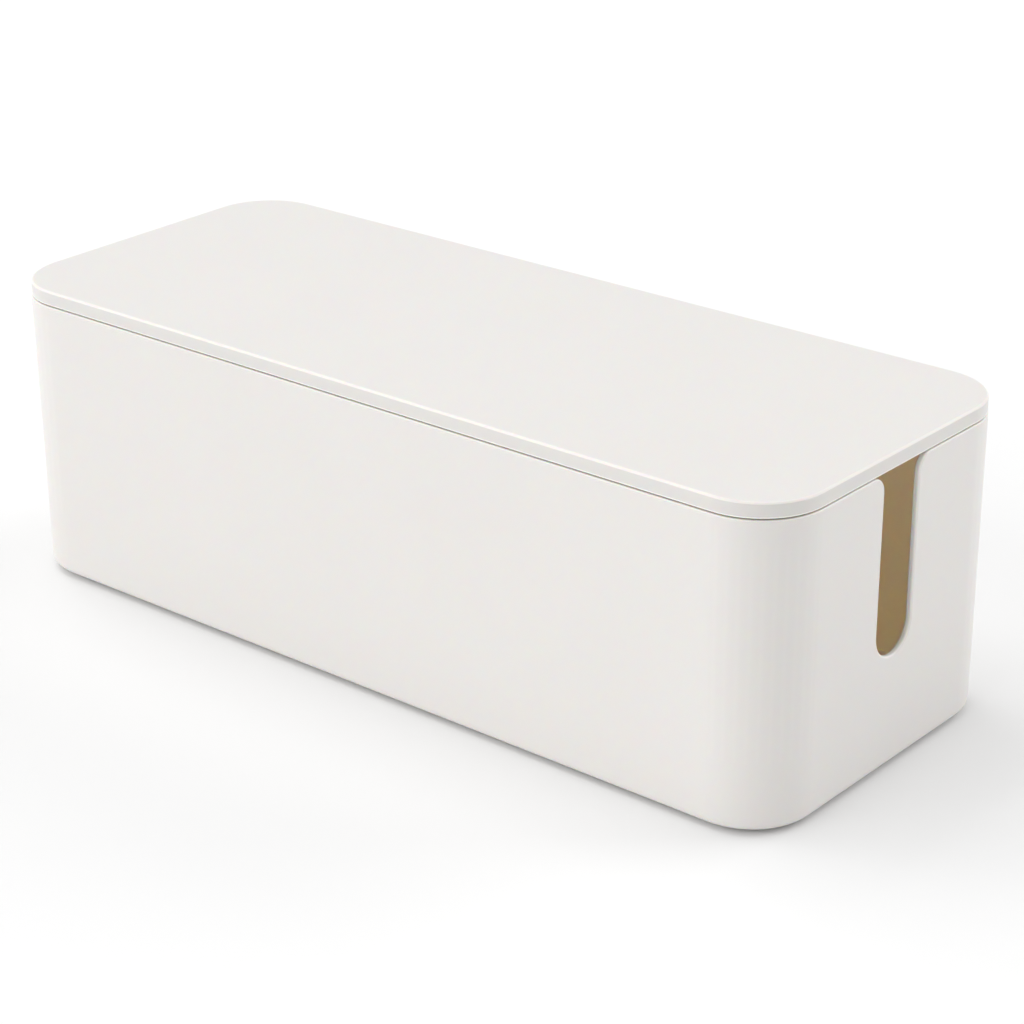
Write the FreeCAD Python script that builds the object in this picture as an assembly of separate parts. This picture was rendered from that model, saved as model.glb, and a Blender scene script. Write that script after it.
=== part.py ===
import FreeCAD, Part
import math
import os

# Cable management box: an open moulded tub with a cable slot in each end wall,
# a flat lid that lifts straight off, and four rubber feet under the floor.
# Millimetres. X runs along the box, Y from front to back, +Z up.
# The origin is on the surface that the box stands on, under the box's centre.

# Outside of the tub, measured at the rim
length = 400.0
width = 158.5
corner_radius = 28.0
tub_height = 124.3
draft_angle = 0.3
bottom_round = 4.0
inner_bottom_bevel = 1.5

# Walls and floor of the tub
wall = 2.5
floor_thickness = 2.5
open_edge_round = 0.9
inner_edge_chamfer = 0.4

# Cable slots, one in each end wall, open at the rim
slot_width = 23.0
slot_height = 76.6
slot_mouth_radius = 6.75
slot_cutter_reach = 12.0
slot_cutter_rise = 1.0

# Lid: its edge stands on the rim behind a shadow gap, and its lip hangs inside the tub
lid_inset = 0.3
lid_edge_height = 6.1
lid_skin = 2.5
lid_top_round = 1.1
shadow_gap = 0.7
shadow_gap_depth = 1.1
lip_clearance = 0.3
lip_thickness = 1.5
lip_drop = 5.0
lip_lead_in = 0.7
lip_slot_margin = 6.0

# Stiffening ribs under the lid
rib_thickness = 1.2
rib_height = 2.6
cross_rib_pitch = 62.0
long_rib_pitch = 52.0
rib_end_space = 15.5

# Feet
foot_diameter = 14.0
foot_thickness = 2.5
foot_recess_depth = 1.0
foot_recess_clearance = 0.2
foot_inset = 30.0

# How closely an edge has to match the place that it's looked for in
match = 0.01

# Levels that follow from the sizes above
floor_level = foot_thickness - foot_recess_depth
rim_level = floor_level + tub_height
lid_top_level = rim_level + shadow_gap + lid_edge_height
taper = math.tan(math.radians(draft_angle))


def rounded_outline(inset, level):
    """Closed wire of the rim's rounded rectangle, drawn in by inset, at a level."""
    x = length / 2 - inset
    y = width / 2 - inset
    r = corner_radius - inset
    bend = r * (1 - math.sqrt(0.5))
    edges = []
    for sx, sy in ((1, -1), (1, 1), (-1, 1), (-1, -1)):
        start = FreeCAD.Vector(sx * (x - r), sy * y, level)
        middle = FreeCAD.Vector(sx * (x - bend), sy * (y - bend), level)
        end = FreeCAD.Vector(sx * x, sy * (y - r), level)
        if sx * sy > 0:
            start, end = end, start
        edges.append(Part.Arc(start, middle, end).toShape())
    for index in range(len(edges)):
        here = edges[index].Vertexes[-1].Point
        there = edges[(index + 1) % 4].Vertexes[0].Point
        edges.append(Part.LineSegment(here, there).toShape())
    return Part.Wire(Part.sortEdges(edges)[0])


def rounded_block(inset, low, high):
    """Straight-sided block with the rim's rounded outline."""
    face = Part.Face(rounded_outline(inset, low))
    return face.extrude(FreeCAD.Vector(0, 0, high - low))


def drafted_block(inset, low, high):
    """Block with the wall's draft, which is at its widest where it meets the rim's level."""
    at_low = rounded_outline(inset + taper * (rim_level - low), low)
    at_high = rounded_outline(inset + taper * (rim_level - high), high)
    return Part.makeLoft([at_low, at_high], True, True)


def edges_at(shape, level):
    """Edges of the shape that lie flat at a level."""
    flat = []
    for edge in shape.Edges:
        box = edge.BoundBox
        if abs(box.ZMin - level) < match and abs(box.ZMax - level) < match:
            flat.append(edge)
    return flat


def slot_cutter(side):
    """Solid that cuts one cable slot: round at the bottom, flared at the rim."""
    half = slot_width / 2
    low = rim_level - slot_height
    mouth = slot_mouth_radius
    bend = mouth * (1 - math.sqrt(0.5))
    over = rim_level + slot_cutter_rise
    x = side * (length / 2 - slot_cutter_reach)

    def at(y, z):
        return FreeCAD.Vector(x, y, z)

    edges = [
        Part.Arc(at(-half, low + half), at(0, low), at(half, low + half)).toShape(),
        Part.LineSegment(at(half, low + half), at(half, rim_level - mouth)).toShape(),
        Part.Arc(at(half, rim_level - mouth), at(half + bend, rim_level - bend),
                 at(half + mouth, rim_level)).toShape(),
        Part.LineSegment(at(half + mouth, rim_level), at(half + mouth, over)).toShape(),
        Part.LineSegment(at(half + mouth, over), at(-half - mouth, over)).toShape(),
        Part.LineSegment(at(-half - mouth, over), at(-half - mouth, rim_level)).toShape(),
        Part.Arc(at(-half - mouth, rim_level), at(-half - bend, rim_level - bend),
                 at(-half, rim_level - mouth)).toShape(),
        Part.LineSegment(at(-half, rim_level - mouth), at(-half, low + half)).toShape(),
    ]
    face = Part.Face(Part.Wire(edges))
    return face.extrude(FreeCAD.Vector(side * 2 * slot_cutter_reach, 0, 0))


def foot_places():
    """Node name and centre of each foot."""
    x = length / 2 - foot_inset
    y = width / 2 - foot_inset
    return {
        "foot_front_left": (-x, -y),
        "foot_front_right": (x, -y),
        "foot_back_left": (-x, y),
        "foot_back_right": (x, y),
    }


def foot_recess(place):
    """Round pocket in the underside of the floor that a foot is stuck into."""
    radius = foot_diameter / 2 + foot_recess_clearance
    base = FreeCAD.Vector(place[0], place[1], floor_level)
    return Part.makeCylinder(radius, foot_recess_depth, base)


def open_edges(tub, cavity):
    """Edges of the rim and of both slots: first those outside, then those on the cavity."""
    outer = []
    inner = []
    slot_half = slot_width / 2 + slot_mouth_radius + match
    for edge in tub.Edges:
        box = edge.BoundBox
        in_slot = max(abs(box.YMin), abs(box.YMax)) < slot_half
        in_slot = in_slot and min(abs(box.XMin), abs(box.XMax)) > length / 2 - slot_cutter_reach
        in_slot = in_slot and box.ZMin > rim_level - slot_height - match
        in_slot = in_slot and box.XLength < wall / 2
        on_rim = box.ZMin > rim_level - match and not in_slot
        crosses_wall = on_rim and abs(edge.Length - wall) < match
        if crosses_wall or not (in_slot or on_rim):
            continue
        middle = edge.valueAt((edge.FirstParameter + edge.LastParameter) / 2)
        if cavity.distToShape(Part.Vertex(middle))[0] < wall / 2:
            inner.append(edge)
        else:
            outer.append(edge)
    return outer, inner


def make_tub():
    """Drafted shell with its base rounded, both slots cut and every open edge softened."""
    outside = drafted_block(0.0, floor_level, rim_level)
    outside = outside.makeFillet(bottom_round, edges_at(outside, floor_level))
    inner_floor = floor_level + floor_thickness
    cavity = drafted_block(wall, inner_floor, rim_level)
    cavity = cavity.makeChamfer(inner_bottom_bevel, edges_at(cavity, inner_floor))
    tub = outside.cut(cavity)
    for side in (-1, 1):
        tub = tub.cut(slot_cutter(side))
    for place in foot_places().values():
        tub = tub.cut(foot_recess(place))
    outer, inner = open_edges(tub, cavity)
    tub = tub.makeFillet(open_edge_round, outer)
    outer, inner = open_edges(tub, cavity)
    return tub.makeChamfer(inner_edge_chamfer, inner)


def lid_lip(inner_inset, skin_level):
    """Locating lip inside the tub's walls, left out where the slots open at the rim."""
    outer_inset = wall + lip_clearance
    bottom = rim_level - lip_drop
    ring = rounded_block(outer_inset, bottom, skin_level)
    ring = ring.makeChamfer(lip_lead_in, edges_at(ring, bottom))
    ring = ring.cut(rounded_block(inner_inset, bottom, skin_level))
    half = slot_width / 2 + slot_mouth_radius + lip_slot_margin
    corner = FreeCAD.Vector(-length / 2, -half, bottom)
    return ring.cut(Part.makeBox(length, 2 * half, lip_drop, corner))


def lid_ribs(inner_inset, skin_level):
    """Crossing ribs under the lid's skin, which reach from one side of the lip to the other."""
    bottom = skin_level - rib_height
    hollow = rounded_block(inner_inset, bottom, skin_level)
    half_x = length / 2 - inner_inset
    half_y = width / 2 - inner_inset
    bars = []
    count_x = int((half_x - rib_end_space) / cross_rib_pitch)
    for index in range(-count_x, count_x + 1):
        corner = FreeCAD.Vector(index * cross_rib_pitch - rib_thickness / 2, -half_y, bottom)
        bars.append(Part.makeBox(rib_thickness, 2 * half_y, rib_height, corner))
    count_y = int(2 * half_y / long_rib_pitch)
    for index in range(count_y):
        y = (index - (count_y - 1) / 2) * long_rib_pitch
        corner = FreeCAD.Vector(-half_x, y - rib_thickness / 2, bottom)
        bars.append(Part.makeBox(2 * half_x, rib_thickness, rib_height, corner))
    return bars[0].fuse(bars[1:]).common(hollow)


def make_lid():
    """Shallow moulding: flat skin, edge that stands on the rim, lip and ribs underneath."""
    skin_level = lid_top_level - lid_skin
    inner_inset = wall + lip_clearance + lip_thickness
    lid = rounded_block(lid_inset, rim_level, lid_top_level)
    lid = lid.makeFillet(lid_top_round, edges_at(lid, lid_top_level))
    relief = rounded_block(0.0, rim_level, rim_level + shadow_gap)
    relief = relief.cut(rounded_block(lid_inset + shadow_gap_depth, rim_level, rim_level + shadow_gap))
    lid = lid.cut(relief)
    lid = lid.cut(rounded_block(inner_inset, rim_level, skin_level))
    return lid.fuse([lid_lip(inner_inset, skin_level), lid_ribs(inner_inset, skin_level)]).removeSplitter()


def make_foot(place):
    """Round rubber pad, cut from sheet and flat in its recess."""
    return Part.makeCylinder(foot_diameter / 2, foot_thickness, FreeCAD.Vector(place[0], place[1], 0))


def main():
    """Build every piece and write one STEP file for each."""
    pieces = {"tub": make_tub(), "lid": make_lid()}
    for name, place in foot_places().items():
        pieces[name] = make_foot(place)
    os.makedirs("parts", exist_ok=True)
    for name, shape in pieces.items():
        if shape.ShapeType == "Compound" and len(shape.Solids) == 1:
            shape = shape.Solids[0]
        print(name, shape.ShapeType, shape.isValid(), round(shape.Volume), len(shape.Faces))
        shape.exportStep("parts/" + name + ".step")


main()
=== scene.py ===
from math import cos, radians, sin

import bpy
from mathutils import Matrix, Vector

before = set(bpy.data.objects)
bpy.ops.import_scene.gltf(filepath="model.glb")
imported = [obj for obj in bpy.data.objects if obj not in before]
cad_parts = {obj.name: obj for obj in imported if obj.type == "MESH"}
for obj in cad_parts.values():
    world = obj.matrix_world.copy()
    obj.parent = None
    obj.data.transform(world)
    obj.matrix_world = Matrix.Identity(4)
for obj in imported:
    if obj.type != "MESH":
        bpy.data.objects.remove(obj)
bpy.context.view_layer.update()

print("frame loaded:", sorted(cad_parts))

# The box's outline at the rim and the levels of its parts, in metres, and how far its walls lean in
# for each metre down
boxSizes = {
    "length": 0.400,
    "width": 0.1585,
    "cornerRadius": 0.028,
    "wall": 0.0025,
    "floorTop": 0.0040,
    "rimLevel": 0.1258,
    "lidTop": 0.1326,
    "lidSideBottom": 0.1265,
    "lidSideInset": 0.0003,
    "wallSlope": 0.00524,
}

# Where the masks on the plastic begin and end: shares of the wall's thickness, then metres
maskLimits = {
    "innerFrom": 0.84,
    "innerTo": 0.96,
    "floorMargin": 0.0008,
    "lidSkinMargin": 0.0012,
    "wallFrom": 0.03,
    "highlightFrom": 0.00005,
    "highlightTo": 0.00030,
    "cutFrom": 0.0005,
    "cutTo": 0.0010,
    "lidEdgeHeight": 0.00045,
    "lidRoundHeight": 0.0008,
    "gapDepth": 0.00015,
    "slack": 0.00002,
}

# Moulded plastic: colours are linear, lengths in metres
plasticLook = {
    "outside": (0.782, 0.762, 0.739),
    # Painted highlight colour for the rounded edges of the tub and the lid
    "edgeHighlight": (0.950, 0.920, 0.880),
    # Painted shade colour for the lid's side, darker than its top
    "lidSideShade": (0.732, 0.716, 0.692),
    # Painted shade colour for the shadow gap between the lid and the rim
    "gapShade": (0.280, 0.222, 0.155),
    "inside": (0.874, 0.838, 0.776),
    "roughness": 0.40,
    "roughnessSwing": 0.05,
    # How much of the painted highlight the lid's top round gets
    "topRoundHighlightShare": 0.40,
    "ior": 1.46,
    "grainSize": 0.00045,
    "grainDepth": 0.000012,
    "patchSize": 0.0054,
    "cloudSize": 0.060,
    "cloudSwing": 0.012,
    "scatterWeight": 0.55,
    "scatterRadius": (1.0, 0.55, 0.28),
    "scatterOutside": 0.0010,
    "scatterCut": 0.0025,
    "scatterInside": 0.016,
}

# Rubber of the feet, in the same units
rubberLook = {
    "colour": (0.20, 0.20, 0.19),
    "darkShare": 0.85,
    "roughness": 0.72,
    "roughnessSwing": 0.06,
    "mottleSize": 0.0036,
    "grainSize": 0.0006,
    "grainDepth": 0.00003,
}

# Layers of noise in the broad patterns and in the fine grain
patternDetail = 3
grainDetail = 2


def newMaterial(name):
    material = bpy.data.materials.new(name)
    material.use_nodes = True
    material.node_tree.nodes.clear()
    return material


def addNode(tree, kind, x, y, **settings):
    node = tree.nodes.new(kind)
    node.location = (x, y)
    for key, value in settings.items():
        setattr(node, key, value)
    return node


# Each input of the node gets a number, a colour or a link
def feed(tree, sockets, values):
    for socket, value in zip(sockets, values):
        if isinstance(value, (int, float)):
            socket.default_value = value
        elif isinstance(value, tuple):
            socket.default_value = (*value, 1)
        else:
            tree.links.new(value, socket)


def mathNode(tree, operation, first, second, x, y):
    node = addNode(tree, "ShaderNodeMath", x, y, operation=operation)
    feed(tree, node.inputs[:2], (first, second))
    return node.outputs[0]


def vectorNode(tree, operation, first, second, x, y):
    node = addNode(tree, "ShaderNodeVectorMath", x, y, operation=operation)
    tree.links.new(first, node.inputs[0])
    if second is not None:
        node.inputs[1].default_value = second
    return node


def stepNode(tree, value, low, high, x, y):
    node = addNode(tree, "ShaderNodeMapRange", x, y, interpolation_type="SMOOTHSTEP")
    node.inputs["From Min"].default_value = low
    node.inputs["From Max"].default_value = high
    tree.links.new(value, node.inputs["Value"])
    return node.outputs[0]


def bandNode(tree, value, low, high, x, y):
    above = mathNode(tree, "GREATER_THAN", value, low, x, y)
    below = mathNode(tree, "LESS_THAN", value, high, x, y - 160)
    return mathNode(tree, "MULTIPLY", above, below, x + 160, y)


# How far a point lies in from the rim's outline, and how high it is
def depthAndHeight(tree, position, x, y):
    radius = boxSizes["cornerRadius"]
    core = (boxSizes["length"] / 2 - radius, boxSizes["width"] / 2 - radius, 0)
    flat = vectorNode(tree, "MULTIPLY", position, (1, 1, 0), x, y)
    folded = vectorNode(tree, "ABSOLUTE", flat.outputs[0], None, x + 160, y)
    past = vectorNode(tree, "SUBTRACT", folded.outputs[0], core, x + 320, y)
    outward = vectorNode(tree, "MAXIMUM", past.outputs[0], (0, 0, 0), x + 480, y)
    reach = vectorNode(tree, "LENGTH", outward.outputs[0], None, x + 640, y)
    split = addNode(tree, "ShaderNodeSeparateXYZ", x + 160, y - 200)
    tree.links.new(position, split.inputs[0])
    return mathNode(tree, "SUBTRACT", radius, reach.outputs["Value"], x + 800, y), split.outputs["Z"]


# Masks for the inner faces, the rounded edges that get a painted highlight, the faces cut through the
# wall, the lid's shadow gap that gets painted shade and the lid's side that gets painted shade
def plasticMasks(tree, position, x, y):
    limits, slack = maskLimits, maskLimits["slack"]
    wall, rim = boxSizes["wall"], boxSizes["rimLevel"]
    side, top = boxSizes["lidSideBottom"], boxSizes["lidTop"]
    depth, height = depthAndHeight(tree, position, x, y)

    def band(low, high, row):
        return bandNode(tree, height, low, high, x + 960, y - row)

    def both(first, second, row):
        return mathNode(tree, "MULTIPLY", first, second, x + 1620, y - row)

    roomLow, roomHigh = boxSizes["floorTop"] - limits["floorMargin"], top - limits["lidSkinMargin"]
    onWall = band(limits["wallFrom"], rim + slack, 900)
    onLidEdge = band(side - slack, side + limits["lidEdgeHeight"], 1200)
    onLidRound = band(top - limits["lidRoundHeight"], top - slack, 1800)
    inGap = band(rim + slack, side + slack, 1500)

    below = mathNode(tree, "SUBTRACT", rim, height, x + 960, y - 600)
    lean = mathNode(tree, "MULTIPLY", below, boxSizes["wallSlope"], x + 1120, y - 600)
    behind = mathNode(tree, "SUBTRACT", depth, lean, x + 1300, y - 600)
    inner = stepNode(tree, depth, wall * limits["innerFrom"], wall * limits["innerTo"], x + 960, y)
    # Rounded rim and slot edges that get the painted highlight
    highlightedRounds = stepNode(tree, behind, limits["highlightFrom"], limits["highlightTo"], x + 1460, y - 600)
    through = stepNode(tree, behind, limits["cutFrom"], limits["cutTo"], x + 1460, y - 900)
    gapFrom = boxSizes["lidSideInset"] + limits["gapDepth"]
    behindSide = mathNode(tree, "GREATER_THAN", depth, gapFrom, x + 1300, y - 1500)

    # Painted highlight on the tub's rounded edges, the lid's lower edge and part of the lid's top
    # round
    tubOrLidHighlight = mathNode(tree, "MAXIMUM", both(highlightedRounds, onWall, 600), onLidEdge, x + 1780, y - 600)
    lidRoundHighlight = both(onLidRound, plasticLook["topRoundHighlightShare"], 1800)
    return {
        "inside": both(inner, band(roomLow, roomHigh, 300), 0),
        "edgeHighlight": mathNode(tree, "MAXIMUM", tubOrLidHighlight, lidRoundHighlight, x + 1940, y - 600),
        "cut": both(through, onWall, 900),
        # Painted shade in the gap between the lid and the rim
        "gapShade": both(inGap, behindSide, 1500),
        # Painted shade on the lid's side
        "lidSideShade": band(side + limits["lidEdgeHeight"], top - limits["lidRoundHeight"], 2100),
    }


def noiseNode(tree, position, size, detail, x, y):
    node = addNode(tree, "ShaderNodeTexNoise", x, y, noise_dimensions="3D")
    node.inputs["Scale"].default_value = 1 / size
    node.inputs["Detail"].default_value = detail
    tree.links.new(position, node.inputs["Vector"])
    return node.outputs["Fac"]


def swing(tree, value, middle, amount, x, y):
    node = addNode(tree, "ShaderNodeMapRange", x, y)
    node.inputs["To Min"].default_value = middle - amount
    node.inputs["To Max"].default_value = middle + amount
    tree.links.new(value, node.inputs["Value"])
    return node.outputs[0]


def mixColours(tree, factor, first, second, x, y):
    node = addNode(tree, "ShaderNodeMix", x, y, data_type="RGBA")
    feed(tree, (node.inputs[0], node.inputs[6], node.inputs[7]), (factor, first, second))
    return node.outputs[2]


def mixValues(tree, factor, first, second, x, y):
    node = addNode(tree, "ShaderNodeMix", x, y, data_type="FLOAT")
    feed(tree, (node.inputs[0], node.inputs[2], node.inputs[3]), (factor, first, second))
    return node.outputs[0]


def grainBump(tree, position, size, depth, x, y):
    bump = addNode(tree, "ShaderNodeBump", x + 200, y)
    bump.inputs["Strength"].default_value = 1
    bump.inputs["Distance"].default_value = depth
    tree.links.new(noiseNode(tree, position, size, grainDetail, x, y), bump.inputs["Height"])
    return bump.outputs[0]


# Smooth matt white moulding: fine grain, faint clouding, light passing a little way through,
# a painted highlight on the rounded edges and painted shade on the lid's side and in its gap
def mouldedPlastic(name):
    look = plasticLook
    material = newMaterial(name)
    tree = material.node_tree
    position = addNode(tree, "ShaderNodeTexCoord", -1600, 0).outputs["Object"]
    masks = plasticMasks(tree, position, -3800, 500)
    clouds = noiseNode(tree, position, look["cloudSize"], patternDetail, -900, 0)
    tone = swing(tree, clouds, 1, look["cloudSwing"], -700, 0)
    base = look["outside"]
    # Painted shade on the lid's side and in the gap, a painted highlight on the rounded edges, then
    # the inner faces' tint
    for column, part in enumerate(("lidSideShade", "edgeHighlight", "gapShade", "inside")):
        base = mixColours(tree, masks[part], base, look[part], -1100 + 200 * column, 400)
    colour = vectorNode(tree, "SCALE", base, None, -100, 300)
    tree.links.new(tone, colour.inputs["Scale"])
    patches = noiseNode(tree, position, look["patchSize"], patternDetail, -900, -250)
    shader = addNode(tree, "ShaderNodeBsdfPrincipled", 200, 200)
    tree.links.new(colour.outputs[0], shader.inputs["Base Color"])
    tree.links.new(swing(tree, patches, look["roughness"], look["roughnessSwing"], -700, -250),
                   shader.inputs["Roughness"])
    shader.inputs["Subsurface Weight"].default_value = look["scatterWeight"]
    shader.inputs["Subsurface Radius"].default_value = look["scatterRadius"]
    scatter = mixValues(tree, masks["cut"], look["scatterOutside"], look["scatterCut"], -500, -50)
    scatter = mixValues(tree, masks["inside"], scatter, look["scatterInside"], -300, -50)
    tree.links.new(scatter, shader.inputs["Subsurface Scale"])
    shader.inputs["IOR"].default_value = look["ior"]
    tree.links.new(grainBump(tree, position, look["grainSize"], look["grainDepth"], -900, -500),
                   shader.inputs["Normal"])
    output = addNode(tree, "ShaderNodeOutputMaterial", 500, 200)
    tree.links.new(shader.outputs[0], output.inputs["Surface"])
    return material


def softRubber(name):
    look = rubberLook
    material = newMaterial(name)
    tree = material.node_tree
    position = addNode(tree, "ShaderNodeTexCoord", -900, 0).outputs["Object"]
    mottle = noiseNode(tree, position, look["mottleSize"], patternDetail, -700, 200)
    shader = addNode(tree, "ShaderNodeBsdfPrincipled", 200, 0)
    dark = tuple(channel * look["darkShare"] for channel in look["colour"])
    tree.links.new(mixColours(tree, mottle, dark, look["colour"], -300, 200),
                   shader.inputs["Base Color"])
    tree.links.new(swing(tree, mottle, look["roughness"], look["roughnessSwing"], -300, -50),
                   shader.inputs["Roughness"])
    tree.links.new(grainBump(tree, position, look["grainSize"], look["grainDepth"], -700, -300),
                   shader.inputs["Normal"])
    output = addNode(tree, "ShaderNodeOutputMaterial", 500, 0)
    tree.links.new(shader.outputs[0], output.inputs["Surface"])
    return material


def paint(nodeName, material):
    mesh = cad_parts[nodeName].data
    mesh.materials.clear()
    mesh.materials.append(material)


tubPlastic = mouldedPlastic("tubPlastic")
lidPlastic = mouldedPlastic("lidPlastic")
footRubber = softRubber("footRubber")
paint("tub", tubPlastic)
paint("lid", lidPlastic)
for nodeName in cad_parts:
    if nodeName.startswith("foot_"):
        paint(nodeName, footRubber)
print("materials on", len(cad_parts), "nodes")

# The camera, fitted to the photograph: degrees, metres, millimetres for the sensor, and the lens in
# pixels of the square frame
cameraFit = {
    "azimuth": 40.020,
    "elevation": 23.586,
    "roll": -0.381,
    "offsetRight": -0.011257,
    "offsetUp": -0.046560,
    "distance": 1.175430,
    "raise": 0.0015,
    "lensPixels": 2789.077,
    "framePixels": 1024,
    "sensorWidth": 36,
    "nearest": 0.01,
    "farthest": 50,
}


# Unit vector towards a place round the box: degrees from the front towards the right, and degrees up
def directionTo(azimuth, elevation):
    around, up = radians(azimuth), radians(elevation)
    return Vector((sin(around) * cos(up), -cos(around) * cos(up), sin(up)))


def buildCamera(fit):
    roll = radians(fit["roll"])
    backward = directionTo(fit["azimuth"], fit["elevation"])
    level = (-backward).cross(Vector((0, 0, 1))).normalized()
    upright = level.cross(-backward)
    right = cos(roll) * level + sin(roll) * upright
    up = cos(roll) * upright - sin(roll) * level
    place = fit["distance"] * backward - fit["offsetRight"] * right - fit["offsetUp"] * up
    place.z += fit["raise"]
    turn = Matrix((right, up, backward)).transposed().to_4x4()
    data = bpy.data.cameras.new("photoCamera")
    data.sensor_fit = "HORIZONTAL"
    data.sensor_width = fit["sensorWidth"]
    data.lens = fit["lensPixels"] * fit["sensorWidth"] / fit["framePixels"]
    data.clip_start = fit["nearest"]
    data.clip_end = fit["farthest"]
    camera = bpy.data.objects.new("photoCamera", data)
    camera.matrix_world = Matrix.Translation(place) @ turn
    bpy.context.collection.objects.link(camera)
    bpy.context.scene.camera = camera


buildCamera(cameraFit)
print("camera placed")

# Studio: a wide pale floor, an even sky and large soft lamps. Colours are linear.
studio = {
    "floorHalfSize": 9.0,
    "floorColour": (0.90, 0.90, 0.90),
    "skyColour": (1.0, 1.0, 1.0),
    "backdropColour": (1.0, 1.0, 1.0),
    "skyStrength": 0.521,
    "lampDistance": 6.0,
    "lampSize": 4.4,
}

# Each lamp: where it stands, in degrees from the front towards the right and degrees up, and its watts
lamps = {
    "frontSoftbox": {"azimuth": -10, "elevation": 25, "power": 90},
    "frontLeftSoftbox": {"azimuth": -50, "elevation": 25, "power": 66},
    "leftHighSoftbox": {"azimuth": -90, "elevation": 55, "power": 99},
    "backRightSoftbox": {"azimuth": 150, "elevation": 25, "power": 149},
    "topSoftbox": {"azimuth": 0, "elevation": 88, "power": 52},
}


def buildFloor():
    half = studio["floorHalfSize"]
    mesh = bpy.data.meshes.new("floor")
    corners = [(-half, -half, 0), (half, -half, 0), (half, half, 0), (-half, half, 0)]
    mesh.from_pydata(corners, [], [(0, 1, 2, 3)])
    floor = bpy.data.objects.new("floor", mesh)
    bpy.context.collection.objects.link(floor)
    material = newMaterial("paleFloor")
    tree = material.node_tree
    diffuse = addNode(tree, "ShaderNodeBsdfDiffuse", 0, 100)
    diffuse.inputs["Color"].default_value = (*studio["floorColour"], 1)
    output = addNode(tree, "ShaderNodeOutputMaterial", 400, 0)
    tree.links.new(diffuse.outputs[0], output.inputs["Surface"])
    mesh.materials.append(material)


def buildSky():
    world = bpy.data.worlds.new("studioSky")
    world.use_nodes = True
    tree = world.node_tree
    tree.nodes.clear()
    rays = addNode(tree, "ShaderNodeLightPath", -600, 0)
    even = addNode(tree, "ShaderNodeBackground", 0, 100)
    even.inputs["Color"].default_value = (*studio["skyColour"], 1)
    even.inputs["Strength"].default_value = studio["skyStrength"]
    white = addNode(tree, "ShaderNodeBackground", 0, -100)
    white.inputs["Color"].default_value = (*studio["backdropColour"], 1)
    mix = addNode(tree, "ShaderNodeMixShader", 200, 0)
    tree.links.new(rays.outputs["Is Camera Ray"], mix.inputs[0])
    tree.links.new(even.outputs[0], mix.inputs[1])
    tree.links.new(white.outputs[0], mix.inputs[2])
    output = addNode(tree, "ShaderNodeOutputWorld", 400, 0)
    tree.links.new(mix.outputs[0], output.inputs["Surface"])
    bpy.context.scene.world = world


def buildLamp(name, facts):
    direction = directionTo(facts["azimuth"], facts["elevation"])
    data = bpy.data.lights.new(name, "AREA")
    data.shape = "SQUARE"
    data.size = studio["lampSize"]
    data.energy = facts["power"]
    lamp = bpy.data.objects.new(name, data)
    lamp.location = direction * studio["lampDistance"]
    lamp.rotation_euler = direction.to_track_quat("Z", "Y").to_euler()
    bpy.context.collection.objects.link(lamp)


buildFloor()
buildSky()
for lampName, facts in lamps.items():
    buildLamp(lampName, facts)
bpy.context.scene.view_settings.view_transform = "Standard"
print("studio built")
